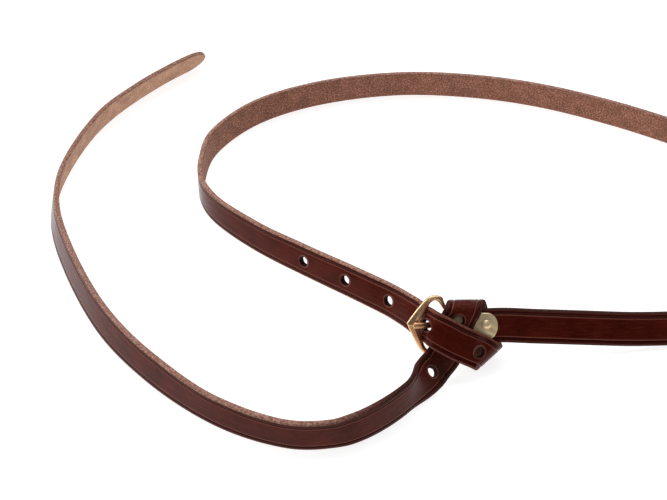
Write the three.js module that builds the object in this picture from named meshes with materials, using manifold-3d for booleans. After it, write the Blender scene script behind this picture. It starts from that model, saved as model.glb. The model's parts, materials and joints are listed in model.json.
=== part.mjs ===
// A long leather strap closed into a neck loop by a small brass heart buckle.
// The strap stands on one cut edge, and its free end lies in a wide curve beside the loop.
// Millimetres, +Z up. Plan positions are measured from the rivet of the buckle plate.
import * as THREE from 'three';
import { mergeVertices } from 'three/addons/utils/BufferGeometryUtils.js';
import Module from 'manifold-3d';

const wasm = await Module();
wasm.setup();

// ---- Driving dimensions ----
const STRAP_WIDTH = 20;
const STRAP_THICK = 2.8;
const HOLE_DIAMETER = 6;
const TONGUE_HOLE_LENGTH = 8.4;
const SEAM_GAP = 0.3;
const TIP_LENGTH = 15;
const PLATE_HEIGHT = 16.2;
const SHEET = 0.9;
const LEAF_GAP = 0.25;
const BAR_RADIUS = 1.4;
const FRAME_THICK = 2.4;
const PIN_RADIUS = 1.2;
const RIVET_HEAD_RADIUS = 2.8;
const RIVET_SHANK_RADIUS = 1.4;
const WASHER_RADIUS = 3.2;
const WASHER_THICK = 0.8;

// The knot's own frame: a runs along the near strand, b up across its face, c out of its face.
const KNOT_HEIGHT = 21.2;
const KNOT_LEAN = 30;
const KNOT_RUN = new THREE.Vector3(1, 0.1, -0.115);
const BAR_A = -15.5;
const BAR_B = -0.6;
const FRAME_SWING = 3;
const FRAME_TILT = 3;

const rad = THREE.MathUtils.degToRad;
const vec = (x, y, z) => new THREE.Vector3(x, y, z);

// ---- Materials ----
function finish(name, color, roughness, metalness) {
  return new THREE.MeshStandardMaterial({ name, color, roughness, metalness });
}
const leather = finish('leather', 0x4a1c16, 0.4, 0);
const castBrass = finish('cast_brass', 0xd8a860, 0.35, 1);
const sheetBrass = finish('sheet_brass', 0xe2c070, 0.3, 1);
const pinBrass = finish('pin_brass', 0xb5713a, 0.35, 1);

// ---- The knot frame ----
function knotMatrix() {
  const a = KNOT_RUN.clone().normalize();
  const up = vec(0, Math.sin(rad(KNOT_LEAN)), Math.cos(rad(KNOT_LEAN)));
  const b = up.addScaledVector(a, -up.dot(a)).normalize();
  const c = vec(0, 0, 0).crossVectors(a, b);
  return new THREE.Matrix4().makeBasis(a, b, c).setPosition(0, 0, KNOT_HEIGHT);
}
const KNOT = knotMatrix();
const knotPoint = (a, b, c) => vec(a, b, c).applyMatrix4(KNOT);
const knotDirection = (a, b, c) => vec(a, b, c).transformDirection(KNOT);

// ---- Stations along the strap: a point on its middle line and the way its width points ----
// A standing station: plan x and y, lean of the top away from the grain side, lift off the table.
function standing(rows, side) {
  return rows.map((row, i) => {
    const [x, y, lean, lift] = row;
    const before = rows[Math.max(i - 1, 0)];
    const after = rows[Math.min(i + 1, rows.length - 1)];
    const run = vec(after[0] - before[0], after[1] - before[1], 0).normalize();
    const grain = vec(run.y, -run.x, 0).multiplyScalar(side);
    const s = Math.sin(rad(lean));
    const width = vec(-grain.x * s, -grain.y * s, Math.cos(rad(lean)));
    const z = (STRAP_WIDTH / 2) * width.z + (STRAP_THICK / 2) * Math.abs(s) + lift;
    return { point: vec(x, y, z), width: width.multiplyScalar(side), crease: 0, cup: 0 };
  });
}

// A station in the knot: a, b, c, the width direction there, and how far the trailing half is bent back.
function inKnot(rows) {
  return rows.map(([a, b, c, wa, wb, wc, crease]) => ({
    point: knotPoint(a, b, c),
    width: knotDirection(wa, wb, wc),
    crease: crease ?? 0,
    cup: 0,
  }));
}

// Half a turn round an axis that lies at axisAngle across the face and dips by axisDip, as a strap
// folds over an edge. The width lies askew of the axis, so each cross-section cups round the fold.
function fold({ a, b, c, heading, axisAngle, axisDip, radius, front, steps }) {
  const flat = Math.cos(rad(axisDip));
  const axis = vec(Math.cos(rad(axisAngle)) * flat, Math.sin(rad(axisAngle)) * flat, -Math.sin(rad(axisDip)));
  const run = vec(Math.cos(rad(heading)), Math.sin(rad(heading)), 0);
  const normal = axis.clone().cross(run).normalize();
  normal.multiplyScalar(Math.sign(normal.z) * front);
  const width = normal.clone().cross(run);
  const along = run.dot(axis);
  const across = Math.sqrt(1 - along * along);
  const sense = Math.sign(axis.clone().cross(run).dot(normal));
  const start = vec(a, b, c);
  const centre = start.clone().addScaledVector(normal, -radius);
  const stations = [];
  for (let i = 0; i <= steps; i++) {
    const turn = (Math.PI * i) / steps;
    const spin = new THREE.Quaternion().setFromAxisAngle(axis, -sense * turn);
    const point = start.clone().sub(centre).applyQuaternion(spin).add(centre);
    point.addScaledVector(axis, (along / across) * radius * turn);
    stations.push({
      point: point.applyMatrix4(KNOT),
      width: width.clone().applyQuaternion(spin).transformDirection(KNOT),
      crease: 0,
      cup: ((along * along) / radius) * (0.4 + 0.6 * Math.sin(turn)),
    });
  }
  return stations;
}

// ---- The whole route, from the end in the buckle plate round the loop to the free tip ----
const ANCHORED = inKnot([
  [-10.5, 0, 0, 0, 1, 0],
  [0, 0, 0, 0, 1, 0],
  [14, 0.5, 0, 0, 1, 0],
]);
const LOOP = standing([
  [30, 3, 30, 8.4],
  [45, 4, 30, 6.7],
  [60, 5, 30, 5],
  [90, 7.2, 30, 1.6],
  [120, 9.6, 29, 0],
  [165, 12.6, 24, 0],
  [215, 20.5, 17, 0],
  [252, 44, 11, 0],
  [267, 84, 7, 0],
  [255, 126, 4, 0],
  [222, 161, 1, 0],
  [178, 190, 0, 0],
  [124, 224, 1, 0],
  [70, 249, 3, 0],
  [19, 261.5, 3, 0],
  [-35, 264, 3, 0],
  [-97, 250, 0, 0],
  [-141, 224, -3, 0],
  [-167, 188, -3, 0],
  [-171.5, 162, 0, 0],
  [-170, 138, 2, 0],
  [-160, 117, 6, 0.5],
  [-131, 87, 11, 2],
  [-100, 61.5, 15, 5],
  [-69, 37, 18, 8.5],
  [-49, 20.8, 20, 10.5],
], 1);
const OVER_BAR = inKnot([
  [-40.4, 5.2, -17.2, 0.15, 0.95, 0.25],
  [-35.4, 3, -9.8, 0.12, 0.98, 0.12],
  [-31.9, 0.7, -4.4, 0.08, 0.99, 0.03],
  [-29.8, 0.2, 0.5, 0.09, 1, 0],
  [-27.2, -1, 5, 0.14, 0.98, 0],
  [-22, -3.4, 8.1, 0.35, 0.93, 0],
  [-15, -7, 8.6, 0.48, 0.87, -0.04],
  [-8, -10.1, 8.5, 0.48, 0.87, -0.1],
]);
const LOWER_FOLD = fold({
  a: -0.2, b: -13.7, c: 7, heading: -29.5, axisAngle: 38.5, axisDip: 13, radius: 6.7, front: 1, steps: 8,
});
const RISER = inKnot([
  [-1.5, -0.6, -6.5, 0.92, 0.39, 0],
]);
const UPPER_FOLD = fold({
  a: -4.6, b: 7.7, c: -6.5, heading: 115, axisAngle: 1, axisDip: 0, radius: 5.65, front: -1, steps: 8,
});
const WRAP = inKnot([
  [-15.4, 0, 4.7, 0.93, -0.36, 0, 23],
  [-17, -9, 4.6, 0.93, -0.36, 0, 28],
  [-20.3, -16.2, 4.9, 0.93, -0.37, -0.08, 24],
  [-25.9, -22.3, 7.3, 0.93, -0.38, -0.16, 8],
]);
const TAIL = standing([
  [-42, -43, 10, 0.7],
  [-58, -56, 9, 0],
  [-72, -64, 8, 0],
  [-84, -67.5, 3, 0],
  [-106, -67.5, 3, 0],
  [-144, -52.5, 7, 0],
  [-184, -21, 14, 0],
  [-216, 15.5, 17, 0],
  [-247.5, 71.5, 17, 0],
  [-262.5, 111.5, 16, 0],
  [-266, 150, 15, 0],
  [-252, 214, 17, 0],
  [-231.5, 250.5, 21, 0],
  [-205, 283.5, 24, 0],
  [-184, 304, 27, 0],
], -1);
const STRETCHES = [ANCHORED, LOOP, OVER_BAR, LOWER_FOLD, RISER, UPPER_FOLD, WRAP, TAIL];
const STATIONS = STRETCHES.flat();

// A Catmull-Rom curve through the stations' points, with the width direction carried along it.
const MIDDLE_LINE = new THREE.CatmullRomCurve3(STATIONS.map((s) => s.point), false, 'centripetal');
const SAMPLES = 3000;
const LENGTHS = MIDDLE_LINE.getLengths(SAMPLES);
const STRAP_LENGTH = LENGTHS[SAMPLES];

// The curve's own parameter at a distance along the strap.
function parameterAt(distance) {
  let low = 0;
  let high = SAMPLES;
  while (high - low > 1) {
    const middle = (low + high) >> 1;
    if (LENGTHS[middle] > distance) high = middle;
    else low = middle;
  }
  return (low + (distance - LENGTHS[low]) / (LENGTHS[high] - LENGTHS[low])) / SAMPLES;
}

// Distance along the strap of a stretch's numbered station.
function distanceTo(stretch, number) {
  const before = STRETCHES.slice(0, STRETCHES.indexOf(stretch)).flat().length;
  return LENGTHS[Math.round(((before + number) / (STATIONS.length - 1)) * SAMPLES)];
}

// The strap's point, run, width, normal, crease and cup at a distance from its anchored end.
function strapFrame(distance) {
  const t = parameterAt(Math.min(Math.max(distance, 0), STRAP_LENGTH));
  const place = t * (STATIONS.length - 1);
  const i = Math.min(Math.floor(place), STATIONS.length - 2);
  const share = place - i;
  const smooth = share * share * (3 - 2 * share);
  const run = MIDDLE_LINE.getTangent(t);
  const width = STATIONS[i].width.clone().lerp(STATIONS[i + 1].width, smooth);
  width.addScaledVector(run, -width.dot(run)).normalize();
  const normal = run.clone().cross(width);
  const crease = rad(THREE.MathUtils.lerp(STATIONS[i].crease, STATIONS[i + 1].crease, smooth));
  const cup = THREE.MathUtils.lerp(STATIONS[i].cup, STATIONS[i + 1].cup, smooth);
  return { point: MIDDLE_LINE.getPoint(t), run, width, normal, crease, cup };
}

// The place of a point of the flat strap: distance along it, offset across it, offset off its middle layer.
function onStrap(distance, across, off) {
  const { point, width, normal, crease, cup } = strapFrame(distance);
  const bend = across < 0 ? crease : 0;
  const side = width.clone().multiplyScalar(Math.cos(bend)).addScaledVector(normal, Math.sin(bend));
  const out = normal.clone().multiplyScalar(Math.cos(bend)).addScaledVector(width, -Math.sin(bend));
  const sunk = (cup * across * across) / 2;
  return point.addScaledVector(side, across).addScaledVector(out, off - sunk);
}

// ---- Solids ----
function toManifold(geometry) {
  const plain = geometry.clone();
  plain.deleteAttribute('normal');
  plain.deleteAttribute('uv');
  const merged = mergeVertices(plain, 1e-5);
  const vertProperties = new Float32Array(merged.attributes.position.array);
  const triVerts = new Uint32Array(merged.index.array);
  return new wasm.Manifold(new wasm.Mesh({ numProp: 3, vertProperties, triVerts }));
}

function toGeometry(solid) {
  const mesh = solid.getMesh();
  const geometry = new THREE.BufferGeometry();
  geometry.setAttribute('position', new THREE.BufferAttribute(mesh.vertProperties, 3));
  geometry.setIndex(new THREE.BufferAttribute(mesh.triVerts, 1));
  geometry.computeVertexNormals();
  return geometry;
}

// Half the strap's width near its free tip: square shoulders that round in to a blunt point.
function halfWidth(distance) {
  const left = STRAP_LENGTH - distance;
  if (left >= TIP_LENGTH) return STRAP_WIDTH / 2;
  const share = 1 - left / TIP_LENGTH;
  return (STRAP_WIDTH / 2) * Math.sqrt(1 - 0.94 * share * share);
}

// A length of strap as one closed solid, bent along the route.
function strapGeometry(from, to, step) {
  const pieces = Math.max(2, Math.round((to - from) / step));
  const geometry = new THREE.BoxGeometry(1, 1, STRAP_THICK, pieces, 4, 1);
  const position = geometry.attributes.position;
  for (let i = 0; i < position.count; i++) {
    const distance = from + (position.getX(i) + 0.5) * (to - from);
    const across = position.getY(i) * 2 * halfWidth(distance);
    const place = onStrap(distance, across, position.getZ(i));
    position.setXYZ(i, place.x, place.y, place.z);
  }
  return geometry;
}

// A punch through the strap, stretched along it where the tongue has worn the hole.
function punch({ at, across, diameter, length }) {
  const { run, width, normal } = strapFrame(at);
  const geometry = new THREE.CylinderGeometry(diameter / 2, diameter / 2, 4 * STRAP_THICK, 20);
  geometry.rotateX(Math.PI / 2);
  geometry.scale(length / diameter, 1, 1);
  const place = new THREE.Matrix4().makeBasis(run, width, normal);
  geometry.applyMatrix4(place.setPosition(onStrap(at, across, 0)));
  return toManifold(geometry);
}

const part = new THREE.Group();

function addMesh(parent, name, geometry, material) {
  const mesh = new THREE.Mesh(geometry, material);
  mesh.name = name;
  parent.add(mesh);
  return mesh;
}

function addStrap(name, from, to, step, holes) {
  let solid = toManifold(strapGeometry(from, to, step));
  for (const hole of holes) {
    if (hole.at > from && hole.at < to) solid = solid.subtract(punch(hole));
  }
  addMesh(part, name, toGeometry(solid), leather);
}

// ---- Strap ----
// Adjusting holes, counted from the loop towards the tip, and the rivet's hole in the anchored end.
// Past the buckle the folded leather is stretched, and its holes lie a little further apart.
const HOLE_PITCH = 32;
const KNOT_HOLE_PITCH = 34.4;
const TONGUE_HOLE_AT = distanceTo(OVER_BAR, 3);
const RIVET = { a: 2.8, b: 1.5 };
const RIVET_CLEARANCE = 0.3;
const adjustingHoles = [-3, -2, -1, 0, 1, 2, 3, 4].map((step) => ({
  at: TONGUE_HOLE_AT + step * (step > 0 ? KNOT_HOLE_PITCH : HOLE_PITCH),
  across: 0,
  diameter: HOLE_DIAMETER,
  length: step === 0 ? TONGUE_HOLE_LENGTH : HOLE_DIAMETER,
}));
const RIVET_HOLE_DIAMETER = 2 * (RIVET_SHANK_RADIUS + RIVET_CLEARANCE);
const rivetHole = {
  at: distanceTo(ANCHORED, 1) + RIVET.a,
  across: RIVET.b,
  diameter: RIVET_HOLE_DIAMETER,
  length: RIVET_HOLE_DIAMETER,
};
const strapHoles = [rivetHole, ...adjustingHoles];

// Named lengths of the strap: where each ends along it, how long its faces are, and the gap after it.
// The free tail bends at its gaps, which are wide enough to turn in.
const BEND_GAP = 1;
const LENGTHS_OF_STRAP = [
  ['strap_anchored_end', distanceTo(LOOP, 0), 6, SEAM_GAP],
  ['strap_near_run', distanceTo(LOOP, 5), 10, SEAM_GAP],
  ['strap_right_turn', distanceTo(LOOP, 10), 8, SEAM_GAP],
  ['strap_far_run', distanceTo(LOOP, 15), 12, SEAM_GAP],
  ['strap_left_turn', distanceTo(LOOP, 22), 8, SEAM_GAP],
  ['strap_hole_run', distanceTo(OVER_BAR, 0), 5, SEAM_GAP],
  ['strap_over_bar', distanceTo(OVER_BAR, 7), 2.2, SEAM_GAP],
  ['strap_lower_fold', distanceTo(RISER, 0) + 1.2, 2.2, SEAM_GAP],
  ['strap_riser', distanceTo(UPPER_FOLD, 0), 3, SEAM_GAP],
  ['strap_upper_fold', distanceTo(UPPER_FOLD, 8), 2, SEAM_GAP],
  ['strap_wrap', distanceTo(WRAP, 3), 2.6, SEAM_GAP],
  ['strap_tail_start', distanceTo(TAIL, 2), 6, BEND_GAP],
  ['strap_tail_1', distanceTo(TAIL, 5), 8, BEND_GAP],
  ['strap_tail_2', distanceTo(TAIL, 7), 8, BEND_GAP],
  ['strap_tail_3', distanceTo(TAIL, 9), 8, BEND_GAP],
  ['strap_tail_4', distanceTo(TAIL, 11), 8, BEND_GAP],
  ['strap_tail_tip', STRAP_LENGTH, 5, 0],
];

function addStraps() {
  let from = 0;
  for (const [name, end, step, gap] of LENGTHS_OF_STRAP) {
    addStrap(name, from, end - gap / 2, step, strapHoles);
    from = end + gap / 2;
  }
}

// ---- Buckle frame: an open heart with its point to the left and a round bar across its lobes ----
const HEART_OUTER = [
  [26.1, 0], [22.8, 6], [19.3, 11.6], [16, 15.6], [12.3, 17.3],
  [8, 16.4], [6.9, 14.3], [4.8, 11.3], [0.2, 11.1],
];
const HEART_INNER = [[1.2, 8.7], [5.6, 8.8], [8.8, 12.2], [12, 14.4], [16.2, 12.2], [18.9, 6.2], [20.6, 0]];
const BAR_LENGTH = 20.4;
const BEVEL = 0.6;
const GROOVE_RADIUS = 1.5;
const PIN_REST = 2.25;

function heartGeometry() {
  const points = (rows, sign) => rows.map(([x, y]) => new THREE.Vector2(x, sign * y));
  const shape = new THREE.Shape();
  shape.moveTo(HEART_OUTER[0][0], 0);
  shape.splineThru(points(HEART_OUTER.slice(1), 1));
  shape.lineTo(HEART_INNER[0][0], HEART_INNER[0][1]);
  shape.splineThru(points(HEART_INNER.slice(1), 1));
  shape.splineThru(points(HEART_INNER.slice(0, -1).reverse(), -1));
  shape.lineTo(HEART_OUTER.at(-1)[0], -HEART_OUTER.at(-1)[1]);
  shape.splineThru(points(HEART_OUTER.slice(0, -1).reverse(), -1));
  const geometry = new THREE.ExtrudeGeometry(shape, {
    depth: FRAME_THICK - 2 * BEVEL,
    bevelThickness: BEVEL,
    bevelSize: BEVEL,
    bevelOffset: -BEVEL,
    bevelSegments: 2,
    curveSegments: 3,
  });
  geometry.translate(0, 0, BEVEL - FRAME_THICK / 2);
  geometry.rotateZ(-rad(FRAME_TILT));
  return geometry;
}

function addFrame(hinge) {
  const bar = new THREE.CylinderGeometry(BAR_RADIUS, BAR_RADIUS, BAR_LENGTH, 20);
  const groove = new THREE.CylinderGeometry(GROOVE_RADIUS, GROOVE_RADIUS, 12, 16);
  groove.rotateZ(Math.PI / 2);
  groove.translate(24, 0, PIN_REST);
  groove.rotateZ(-rad(FRAME_TILT));
  const solid = toManifold(heartGeometry()).add(toManifold(bar)).subtract(toManifold(groove));
  addMesh(hinge, 'buckle_frame', toGeometry(solid), castBrass);
}

// ---- Tongue: a pin bent up from a ring round the bar, through the strap, to rest on the point ----
const RING_INNER = 1.65;
const RING_OUTER = 2.85;
const RING_WIDTH = 2.6;
const PIN_ROUTE = [
  [0, -2.25], [5, -2.4], [9.8, -1.9], [13.4, 0.1], [17.6, 2], [20, PIN_REST], [22.6, PIN_REST],
];

function addTongue(hinge) {
  const route = new THREE.CatmullRomCurve3(PIN_ROUTE.map(([x, z]) => vec(x, 0, z)));
  const section = new THREE.Shape().absarc(0, 0, PIN_RADIUS, 0, 2 * Math.PI);
  const pin = new THREE.ExtrudeGeometry(section, { extrudePath: route, steps: 28, curveSegments: 7 });
  pin.rotateZ(-rad(FRAME_TILT));
  const half = RING_WIDTH / 2;
  const profile = [[RING_INNER, -half], [RING_OUTER, -half], [RING_OUTER, half], [RING_INNER, half]];
  profile.push(profile[0]);
  const ring = new THREE.LatheGeometry(profile.map(([x, y]) => new THREE.Vector2(x, y)), 24);
  const bore = new THREE.CylinderGeometry(RING_INNER, RING_INNER, 2 * RING_WIDTH, 24);
  const solid = toManifold(pin).subtract(toManifold(bore)).add(toManifold(ring));
  addMesh(hinge, 'buckle_tongue', toGeometry(solid), pinBrass);
}

// ---- Plate: one sheet folded round the bar, a leaf on each face of the anchored end ----
const PLATE_END = 9.6;
const PLATE_MIDDLE = 0;
const PLATE_CORNER = 6;
const SLOT_WIDTH = 4.4;
const SLOT_REACH = 4.5;

function platePocket() {
  const inner = STRAP_THICK / 2 + LEAF_GAP;
  const outer = inner + SHEET;
  const shape = new THREE.Shape();
  shape.moveTo(PLATE_END, -outer);
  shape.lineTo(PLATE_END, -inner);
  shape.lineTo(BAR_A, -inner);
  shape.absarc(BAR_A, 0, inner, -Math.PI / 2, Math.PI / 2, true);
  shape.lineTo(PLATE_END, inner);
  shape.lineTo(PLATE_END, outer);
  shape.lineTo(BAR_A, outer);
  shape.absarc(BAR_A, 0, outer, Math.PI / 2, -Math.PI / 2, false);
  const geometry = new THREE.ExtrudeGeometry(shape, {
    depth: PLATE_HEIGHT,
    bevelEnabled: false,
    curveSegments: 12,
  });
  geometry.rotateX(Math.PI / 2);
  geometry.translate(0, PLATE_MIDDLE + PLATE_HEIGHT / 2, 0);
  return geometry;
}

function plateOutline() {
  const shape = new THREE.Shape();
  const top = PLATE_HEIGHT / 2;
  const cornerA = PLATE_END - PLATE_CORNER;
  const cornerB = top - PLATE_CORNER;
  shape.moveTo(BAR_A - 5, -top);
  shape.lineTo(cornerA, -top);
  shape.absarc(cornerA, -cornerB, PLATE_CORNER, -Math.PI / 2, 0, false);
  shape.absarc(cornerA, cornerB, PLATE_CORNER, 0, Math.PI / 2, false);
  shape.lineTo(BAR_A - 5, top);
  const geometry = new THREE.ExtrudeGeometry(shape, { depth: 10, bevelEnabled: false, curveSegments: 14 });
  geometry.translate(0, PLATE_MIDDLE, -5);
  return geometry;
}

function addPlate(knot) {
  const slot = new THREE.BoxGeometry(2 * SLOT_REACH, SLOT_WIDTH, 10);
  slot.translate(BAR_A, BAR_B, 0);
  const rivetBore = new THREE.CylinderGeometry(rivetHole.diameter / 2, rivetHole.diameter / 2, 10, 20);
  rivetBore.rotateX(Math.PI / 2);
  rivetBore.translate(RIVET.a, RIVET.b, 0);
  const solid = toManifold(platePocket())
    .intersect(toManifold(plateOutline()))
    .subtract(toManifold(slot))
    .subtract(toManifold(rivetBore));
  addMesh(knot, 'buckle_plate', toGeometry(solid), sheetBrass);
}

// ---- Rivet and its washer ----
const HEAD_HEIGHT = 1.2;

function addRivet(knot) {
  const seat = STRAP_THICK / 2 + LEAF_GAP + SHEET + SEAM_GAP;
  const tail = seat + WASHER_THICK + SEAM_GAP;
  const profile = [[0, -tail - 0.6], [1.9, -tail - 0.6], [2.2, -tail], [RIVET_SHANK_RADIUS, -tail]];
  profile.push([RIVET_SHANK_RADIUS, seat], [RIVET_HEAD_RADIUS, seat], [RIVET_HEAD_RADIUS, seat + 0.3]);
  profile.push([2.1, seat + 0.9], [1.1, seat + HEAD_HEIGHT], [0, seat + HEAD_HEIGHT]);
  const rivet = new THREE.LatheGeometry(profile.map(([x, y]) => new THREE.Vector2(x, y)), 24);
  rivet.rotateX(Math.PI / 2);
  addMesh(knot, 'rivet', rivet, sheetBrass).position.set(RIVET.a, RIVET.b, 0);
  const inner = RIVET_SHANK_RADIUS + 0.3;
  const ring = [[inner, -seat - WASHER_THICK], [WASHER_RADIUS, -seat - WASHER_THICK], [WASHER_RADIUS, -seat]];
  ring.push([inner, -seat], [inner, -seat - WASHER_THICK]);
  const washer = new THREE.LatheGeometry(ring.map(([x, y]) => new THREE.Vector2(x, y)), 24);
  washer.rotateX(Math.PI / 2);
  addMesh(knot, 'rivet_washer', washer, sheetBrass).position.set(RIVET.a, RIVET.b, 0);
}

function addBuckle() {
  const knot = new THREE.Group();
  knot.applyMatrix4(KNOT);
  part.add(knot);
  const hinge = new THREE.Group();
  hinge.position.set(BAR_A, BAR_B, 0);
  hinge.rotation.set(0, -rad(FRAME_SWING), Math.PI);
  knot.add(hinge);
  addFrame(hinge);
  addTongue(hinge);
  addPlate(knot);
  addRivet(knot);
}

addStraps();
addBuckle();
// The origin is the middle of the outline in plan, on the surface that the strap stands on.
const box = new THREE.Box3().setFromObject(part);
const middle = box.getCenter(new THREE.Vector3());
part.position.set(-middle.x, -middle.y, -box.min.z);
part.updateMatrixWorld(true);

export default part;
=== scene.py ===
# A long leather strap closed into a neck loop by a small brass heart buckle, standing on its edge.
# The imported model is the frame; every visible piece is built here on the same route.
import bpy, bmesh, json, math
import numpy as np
from mathutils import Matrix, Quaternion, Vector


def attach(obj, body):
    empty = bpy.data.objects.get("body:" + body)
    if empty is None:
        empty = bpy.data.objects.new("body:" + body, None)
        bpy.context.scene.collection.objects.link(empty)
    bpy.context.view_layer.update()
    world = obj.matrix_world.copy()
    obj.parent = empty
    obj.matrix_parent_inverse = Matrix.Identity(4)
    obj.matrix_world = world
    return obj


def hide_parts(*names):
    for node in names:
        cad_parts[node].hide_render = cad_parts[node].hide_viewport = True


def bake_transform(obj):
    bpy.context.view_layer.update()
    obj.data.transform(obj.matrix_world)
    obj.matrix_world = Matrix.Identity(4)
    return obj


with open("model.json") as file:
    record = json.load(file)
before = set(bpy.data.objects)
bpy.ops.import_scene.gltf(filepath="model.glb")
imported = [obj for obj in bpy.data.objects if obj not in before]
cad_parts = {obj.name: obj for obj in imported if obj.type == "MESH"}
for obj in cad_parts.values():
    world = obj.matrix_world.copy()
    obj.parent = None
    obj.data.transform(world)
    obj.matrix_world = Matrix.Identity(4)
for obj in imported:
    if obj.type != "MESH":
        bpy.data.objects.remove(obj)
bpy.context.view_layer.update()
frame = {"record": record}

MM = 0.001

# ---- Driving dimensions, in millimetres and degrees ----
STRAP_WIDTH = 20.0
CAD_THICK = 2.8
LEATHER_THICK = 3.6
KNOT_THINNING = 0.84
THINNING_REACH = 25
WRINKLE_DEPTH = 0.11
WRINKLE_REACH = 16
WRINKLE_OFFSET = 3
# Radians to a millimetre, along the strap and across it
WRINKLE_WAVES = [(1.9, 0.5), (1.15, -1.3)]
TIP_LENGTH = 15.0
TIP_NARROWING = 0.94
HOLE_DIAMETER = 6.0
HOLE_PITCH = 32.0
KNOT_HOLE_PITCH = 34.4
TONGUE_HOLE_LENGTH = 8.4
CREASE_AT = 6.8
KNOT_HEIGHT = 21.2
KNOT_LEAN = 30.0
KNOT_RUN = Vector((1, 0.1, -0.115))
BAR_A = -15.5
BAR_B = -0.6
FRAME_SWING = 3.0
FRAME_TILT = 3.0
BAR_RADIUS = 1.4
PLATE_HEIGHT = 16.2
PLATE_END = 9.6
PLATE_ROUND = 8.0
SHEET = 0.9
LEAF_INSIDE = 1.65
RIVET_A = 2.8
RIVET_B = 1.5
RIVET_HOLE = 3.4
HEAD_RADIUS = 2.8
SHANK_RADIUS = 1.4
WASHER_RADIUS = 3.2
RING_INNER = 1.65
RING_OUTER = 2.85
RING_WIDTH = 2.6
PIN_SIZE = 1.42
PIN_TAPER = 0.2
PIN_VEER = 0.4
PIN_WIDTH_SHARE = 1.4
PIN_HEIGHT_SHARE = 0.9
SLOT_WIDTH = 4.4
SLOT_REACH = 4.5
RIVET_SEAT = LEAF_INSIDE + SHEET + 0.05
FOLD_RADIUS = LEAF_INSIDE + SHEET / 2
FOLD_REACH = FOLD_RADIUS * math.pi / 2
BEND_REACH = 31.0

# Half outlines of the heart, from its point to the bar: along the tongue, and to the side
HEART_OUTER = [
    (26.1, 0), (22.8, 6), (19.3, 11.6), (16, 15.6), (12.3, 17.3),
    (8, 16.4), (6.9, 14.3), (4.8, 11.3), (0.2, 11.1),
]
HEART_INNER = [
    (19.6, 0), (18.2, 3.6), (16.2, 8.4), (14.3, 12.4), (12, 14.3),
    (9.8, 13.3), (8.4, 11.9), (5.6, 8.8), (1.2, 8.7),
]
# The tongue's middle line from the bar to its tip: along, and out of the heart's plane
PIN_ROUTE = [(0, -2.25), (5, -2.4), (9.8, -1.9), (13.4, 0.1), (17.6, 2.1), (20, 2.35), (22.9, 2.3)]

# ---- Steps of the meshes: millimetres, points to a span, sides to a circle ----
FINE_RING = 1.0
WIDE_RING = 2.5
SHEET_STEP = 0.5
SAMPLES_PER_SPAN = 60
HEART_POINTS_PER_SPAN = 8
PIN_POINTS_PER_SPAN = 6
HOLE_SIDES = 40
RIVET_SIDES = 40
METAL_SIDES = 32
PIN_SIDES = 20

# ---- Camera (millimetres, above the table and from the rivet in plan) and light (floor in metres) ----
CAMERA_PLACE = (-82, -406, 444)
CAMERA_TILT = 48
CAMERA_LENS = 56.2
FLOOR_HALF = 12.0
FLOOR_GREY = 0.4
FLOOR_OWN_LIGHT = 0.84
WORLD_LIGHT = 0.07

rad = math.radians


# ---- The knot's own frame: a along the near strand, b up across its face, c out of its face ----
def knot_matrix():
    a = KNOT_RUN.normalized()
    up = Vector((0, math.sin(rad(KNOT_LEAN)), math.cos(rad(KNOT_LEAN))))
    b = (up - a * up.dot(a)).normalized()
    c = a.cross(b)
    matrix = Matrix((a, b, c)).transposed().to_4x4()
    matrix.translation = (0, 0, KNOT_HEIGHT)
    return matrix


KNOT = knot_matrix()
KNOT_TURN = KNOT.to_3x3()


def layout_shift():
    """From the rivet-centred layout to the CAD frame: the buckle's bar is in both."""
    joints = frame["record"]["behaviour"]["joints"]
    bar = next(joint for joint in joints if joint["name"] == "frame_swing")
    return Vector(bar["pos_m"]) / MM - KNOT @ Vector((BAR_A, BAR_B, 0))


SHIFT = layout_shift()


# ---- Camera, floor and light ----
def add_camera():
    data = bpy.data.cameras.new("camera")
    data.sensor_width = 36.0
    data.lens = CAMERA_LENS
    camera = bpy.data.objects.new("camera", data)
    camera.location = (Vector(CAMERA_PLACE) + SHIFT) * MM
    camera.rotation_euler = (rad(CAMERA_TILT), 0, 0)
    bpy.context.scene.collection.objects.link(camera)
    bpy.context.scene.camera = camera


def new_material(name):
    material = bpy.data.materials.new(name)
    material.use_nodes = True
    tree = material.node_tree
    return material, tree.nodes, tree.links, tree.nodes["Principled BSDF"]


def add_floor():
    mesh = bpy.data.meshes.new("floor")
    corners = [(FLOOR_HALF * x, FLOOR_HALF * y, 0) for x, y in ((-1, -1), (1, -1), (1, 1), (-1, 1))]
    mesh.from_pydata(corners, [], [(0, 1, 2, 3)])
    floor = bpy.data.objects.new("floor", mesh)
    material, _, _, shader = new_material("floor")
    shader.inputs["Base Color"].default_value = (FLOOR_GREY, FLOOR_GREY, FLOOR_GREY, 1)
    shader.inputs["Roughness"].default_value = 0.9
    shader.inputs["Specular IOR Level"].default_value = 0.0
    shader.inputs["Emission Color"].default_value = (1, 1, 1, 1)
    shader.inputs["Emission Strength"].default_value = FLOOR_OWN_LIGHT
    mesh.materials.append(material)
    bpy.context.scene.collection.objects.link(floor)


def add_area_light(name, location, target, size, power):
    data = bpy.data.lights.new(name, "AREA")
    data.shape = "RECTANGLE"
    data.size, data.size_y = size
    data.energy = power
    light = bpy.data.objects.new(name, data)
    light.location = location
    light.rotation_euler = (Vector(target) - Vector(location)).to_track_quat("-Z", "Y").to_euler()
    bpy.context.scene.collection.objects.link(light)


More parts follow.
